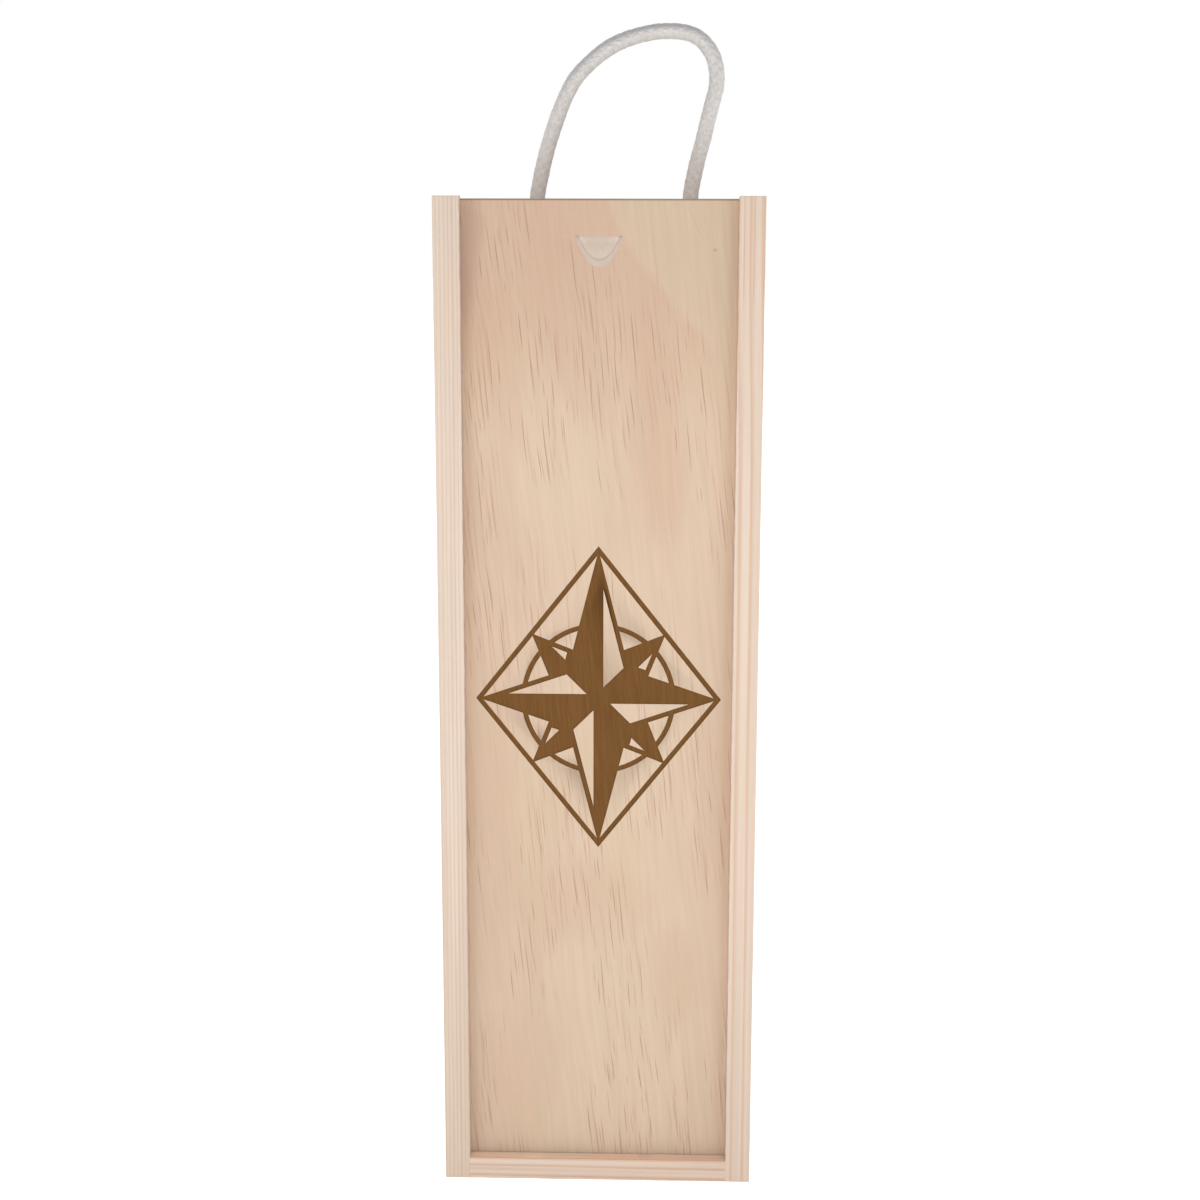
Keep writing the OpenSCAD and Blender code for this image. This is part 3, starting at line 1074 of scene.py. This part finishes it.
# %% Notch, core and glue
front_glue = 0.62 * mm
back_glue = 3.4 * mm
in_notch = z.rise(319.9 * mm, 320 * mm) * z.fall(337.1 * mm, 337.3 * mm)
in_notch = in_notch * from_centre.fall(8.8 * mm, 9 * mm)
in_notch = in_notch * depth.rise(0.02 * mm, 0.06 * mm) * depth.fall(2.8 * mm, 2.9 * mm)
core = ply.colour(tone(217, 199, 184)).mix((fibre + cloud).rise(0.8, 1.2), tone(210, 191, 175))
in_core = depth.rise(0.55 * mm, 0.65 * mm) * depth.fall(3.35 * mm, 3.45 * mm)
colour = colour.mix(in_notch, tone(208, 189, 178))
colour = colour.mix(in_core, core)
# Painted light: the upper part of the notch is made paler, to take out the shade under its upper
# wall.
painted_light_notch_top = z.rise(334 * mm, 336.8 * mm) * in_notch
colour = colour.mix(painted_light_notch_top * depth.rise(0.4 * mm, 1 * mm), colour.shade(1.3))
glue = (depth - front_glue).size().fall(0.04 * mm, 0.14 * mm)
glue = glue + (depth - back_glue).size().fall(0.03 * mm, 0.1 * mm)
colour = colour.mix(glue * 0.5, tone(176, 160, 150))

# %% Burnt star and sawn upper edge
on_star = z.fall(249 * mm, 250 * mm) * z.rise(110 * mm, 111 * mm)
on_star = on_star * from_centre.fall(45.5 * mm, 46 * mm)
burnt = on_star * depth.rise(0.03 * mm, 0.05 * mm) * depth.fall(0.5 * mm, 0.6 * mm)
colour = colour.shade(0.94 + 0.12 * fibre)
scorch = ply.colour(tone(124, 84, 38)).mix(fibre.rise(0.35, 0.65), tone(115, 76, 32))
colour = colour.mix(burnt, scorch)
# The sawn upper edge is coloured dark brown, most strongly along its front.
sawn_top = z.rise(348.35 * mm, 348.65 * mm)
darker_at_front = 0.8 - 0.5 * depth.rise(0.3 * mm, 0.7 * mm)
colour = colour.mix(sawn_top * darker_at_front, tone(140, 112, 92))
height = fibre * 0.5 - (long_strokes + short_strokes) * 0.8
roughness = 0.62 + 0.14 * fibre + 0.12 * burnt
dress(lid, ply.finish(colour, roughness, height, deep=0.04, constants=sanded_veneer))

# %% [markdown]
# ## Plywood back
# The back is a sheet of the same kind. Where a log is peeled nearly along its rings, their
# lines wind over the sheet like contours on a map, so they are drawn as contours of slow noise.

# %% Plywood back
ply = Finish("plywood_back_finish")
x, y, z = ply.x, ply.y, ply.z
depth = y - panel_front * mm
cloud = x.noise(x * 40, z * 8, 0, detail=3, seed=3.0)
streak = x.noise(x * 500, z * 14, 0, detail=2, seed=8.0)
fibre = x.noise(x * 1500, z * 50, y * 1500, detail=2, seed=12.0)
hill = x.noise(x * 17, z * 3.4, 0, detail=1, seed=31.0)
ripple = x.noise(x * 130, z * 26, 0, detail=1, seed=17.0)
rings = hill * 34 + ripple * 0.5 + x * 90
ring = rings.whole()
phase = rings - ring
late = phase.rise(0.25, 0.85) * phase.fall(0.88, 1.0) * (0.45 + 0.55 * ring.random())
colour = ply.colour(tone(222, 198, 170)).mix(cloud.rise(0.4, 0.65) * 0.6, tone(212, 184, 154))
colour = colour.mix(streak.rise(0.5, 0.8) * 0.35, tone(196, 162, 130))
colour = colour.mix(late * 0.5, tone(196, 152, 114))
in_core = depth.rise(0.95 * mm, 1.01 * mm) * depth.fall(2.99 * mm, 3.05 * mm)
colour = colour.mix(in_core, tone(204, 180, 152))
glue = (depth - 1 * mm).size().fall(0.03 * mm, 0.1 * mm)
colour = colour.mix(glue * 0.6, tone(140, 110, 84))
colour = colour.shade(0.93 + 0.12 * fibre)
height = fibre * 0.6 + late * 0.3
roughness = 0.64 + 0.14 * fibre
dress(back_panel, ply.finish(colour, roughness, height, deep=0.05, constants=matt_wood))

# %% [markdown]
# ## Cotton
# Soft off-white cotton is matt, with a slight sheen from loose fibres. Painted shade makes it greyer
# along the upper side of the loop, and painted light makes its underside paler. It is browner near
# the holes, partly from wear where wood rubs it and partly as painted shade close to the board.
# The fine twist of the yarns follows the strands, so it reads the rope's own UV map.

# %% Cotton
cotton = Finish("cotton_finish")
map_place = Wire(cotton.tree, cotton.texture_place.outputs["UV"])
along = map_place.node("ShaderNodeSeparateXYZ", {}, {0: map_place}, out=0)
around = Wire(cotton.tree, along.socket.node.outputs[1])
twist = ((along * 2.1 + around * 9) * (2 * math.pi)).sine()
soft = cotton.x.noise(cotton.x * 1700, cotton.y * 1700, cotton.z * 1700, seed=2.0)
mottle = cotton.x.noise(cotton.x * 750, cotton.y * 750, cotton.z * 750, seed=6.0)
colour = cotton.colour(tone(238, 235, 232)).mix(mottle.rise(0.35, 0.65), tone(226, 221, 217))
# Browner near the holes: partly wear where the wood rubs it, partly painted shade close to the board.
worn = cotton.z.fall(349 * mm, 385 * mm)
colour = colour.mix(worn * 0.4, tone(206, 192, 184))
# Painted shade: the upper side of the loop is greyer.
painted_shade_on_top = cotton.facing(2).rise(-0.3, 0.8) * cotton.z.rise(365 * mm, 395 * mm)
colour = colour.mix(painted_shade_on_top * 0.9, tone(160, 158, 160))
# Painted light: the underside of the rope is paler.
painted_light_below = (0 - cotton.facing(2)).rise(0.3, 0.9)
colour = colour.mix(painted_light_below, colour.shade(1.08))
colour = colour.shade(0.92 + 0.12 * soft)
height = twist * 0.25 + soft * 0.8
roughness = 0.86 + 0.1 * soft
fluffy = {"Sheen Weight": 0.5, "Sheen Roughness": 0.5, "Specular IOR Level": 0.2}
cotton_material = cotton.finish(colour, roughness, height, deep=0.08, constants=fluffy)
for piece in (rope, left_end, right_end):
    dress(piece, cotton_material)

# %% [markdown]
# ## Steel brads
# The brads keep their CAD shape. Their heads are bright steel, a little dulled and scratched
# by the hammer.

# %% Steel
steel = Finish("steel_finish")
scratch = steel.x.noise(steel.x * 2500, steel.y * 2500, steel.z * 2500, detail=3, seed=1.0)
dull = steel.x.noise(steel.x * 300, steel.y * 300, steel.z * 300, detail=2, seed=4.0)
colour = steel.colour((0.56, 0.55, 0.52, 1)).mix(dull.rise(0.4, 0.7), (0.40, 0.38, 0.35, 1))
roughness = 0.28 + 0.25 * scratch
steel_material = steel.finish(colour, roughness, scratch, deep=0.02, constants={"Metallic": 1.0})
for name in ("corner_brads", "back_panel_brads"):
    for slot in nodes[name].material_slots:
        slot.material = steel_material

# %% [markdown]
# ## Floor and light
# The photograph has a plain white ground and soft, even light, mostly from the front. A wide
# pale floor runs out of sight, and the sky is white. One large softbox hangs in front and
# above, and two small ones stand to the left and right at half the height of the box. A
# fourth stands behind, so that the back is as well lit when the box is seen from there.

# %% Floor and light
bpy.ops.object.select_all(action="DESELECT")
bpy.ops.mesh.primitive_plane_add(size=16, location=(0, 0, 0))
floor = bpy.context.active_object
floor.name = "floor"
pale = Finish("pale_floor")
glow = {"Specular IOR Level": 0.1, "Emission Color": (1, 1, 1, 1), "Emission Strength": 0.4}
dress(floor, pale.finish((0.93, 0.93, 0.93, 1), 0.9, constants=glow))

world = bpy.data.worlds.new("white_sky")
world.use_nodes = True
sky = Wire(world.node_tree, None)
background = world.node_tree.nodes["Background"]
direction = sky.node("ShaderNodeTexCoord", out="Generated")
upward = direction.node("ShaderNodeSeparateXYZ", {}, {0: direction}, out=2)
brightness = 1 - 0.1 * upward.rise(0.2, 0.75)
world.node_tree.links.new(brightness.socket, background.inputs["Strength"])
background.inputs["Color"].default_value = (1, 1, 1, 1)
bpy.context.scene.world = world


def soft_light(name, place, target, size, power):
    """A large square light that points at a target."""
    bpy.ops.object.light_add(type="AREA", location=place)
    light = bpy.context.active_object
    light.name = name
    light.data.size = size
    light.data.energy = power
    light.rotation_euler = (Vector(target) - Vector(place)).to_track_quat("-Z", "Y").to_euler()


soft_light("left_softbox", (-0.42, -0.66, 0.18), (0, 0, 0.18), size=0.4, power=0.32)
soft_light("right_softbox", (0.46, -0.64, 0.18), (0, 0, 0.18), size=0.4, power=0.32)
soft_light("front_softbox", (0, -1.5, 1.2), (0, 0, 0.2), size=1.4, power=12.7)
soft_light("back_softbox", (0.2, 1.7, 1.0), (0, 0, 0.2), size=1.4, power=6)
scene = bpy.context.scene
scene.view_settings.view_transform = "Standard"
scene.view_settings.look = "None"
scene.view_settings.exposure = 0.0
scene.view_settings.gamma = 1.0
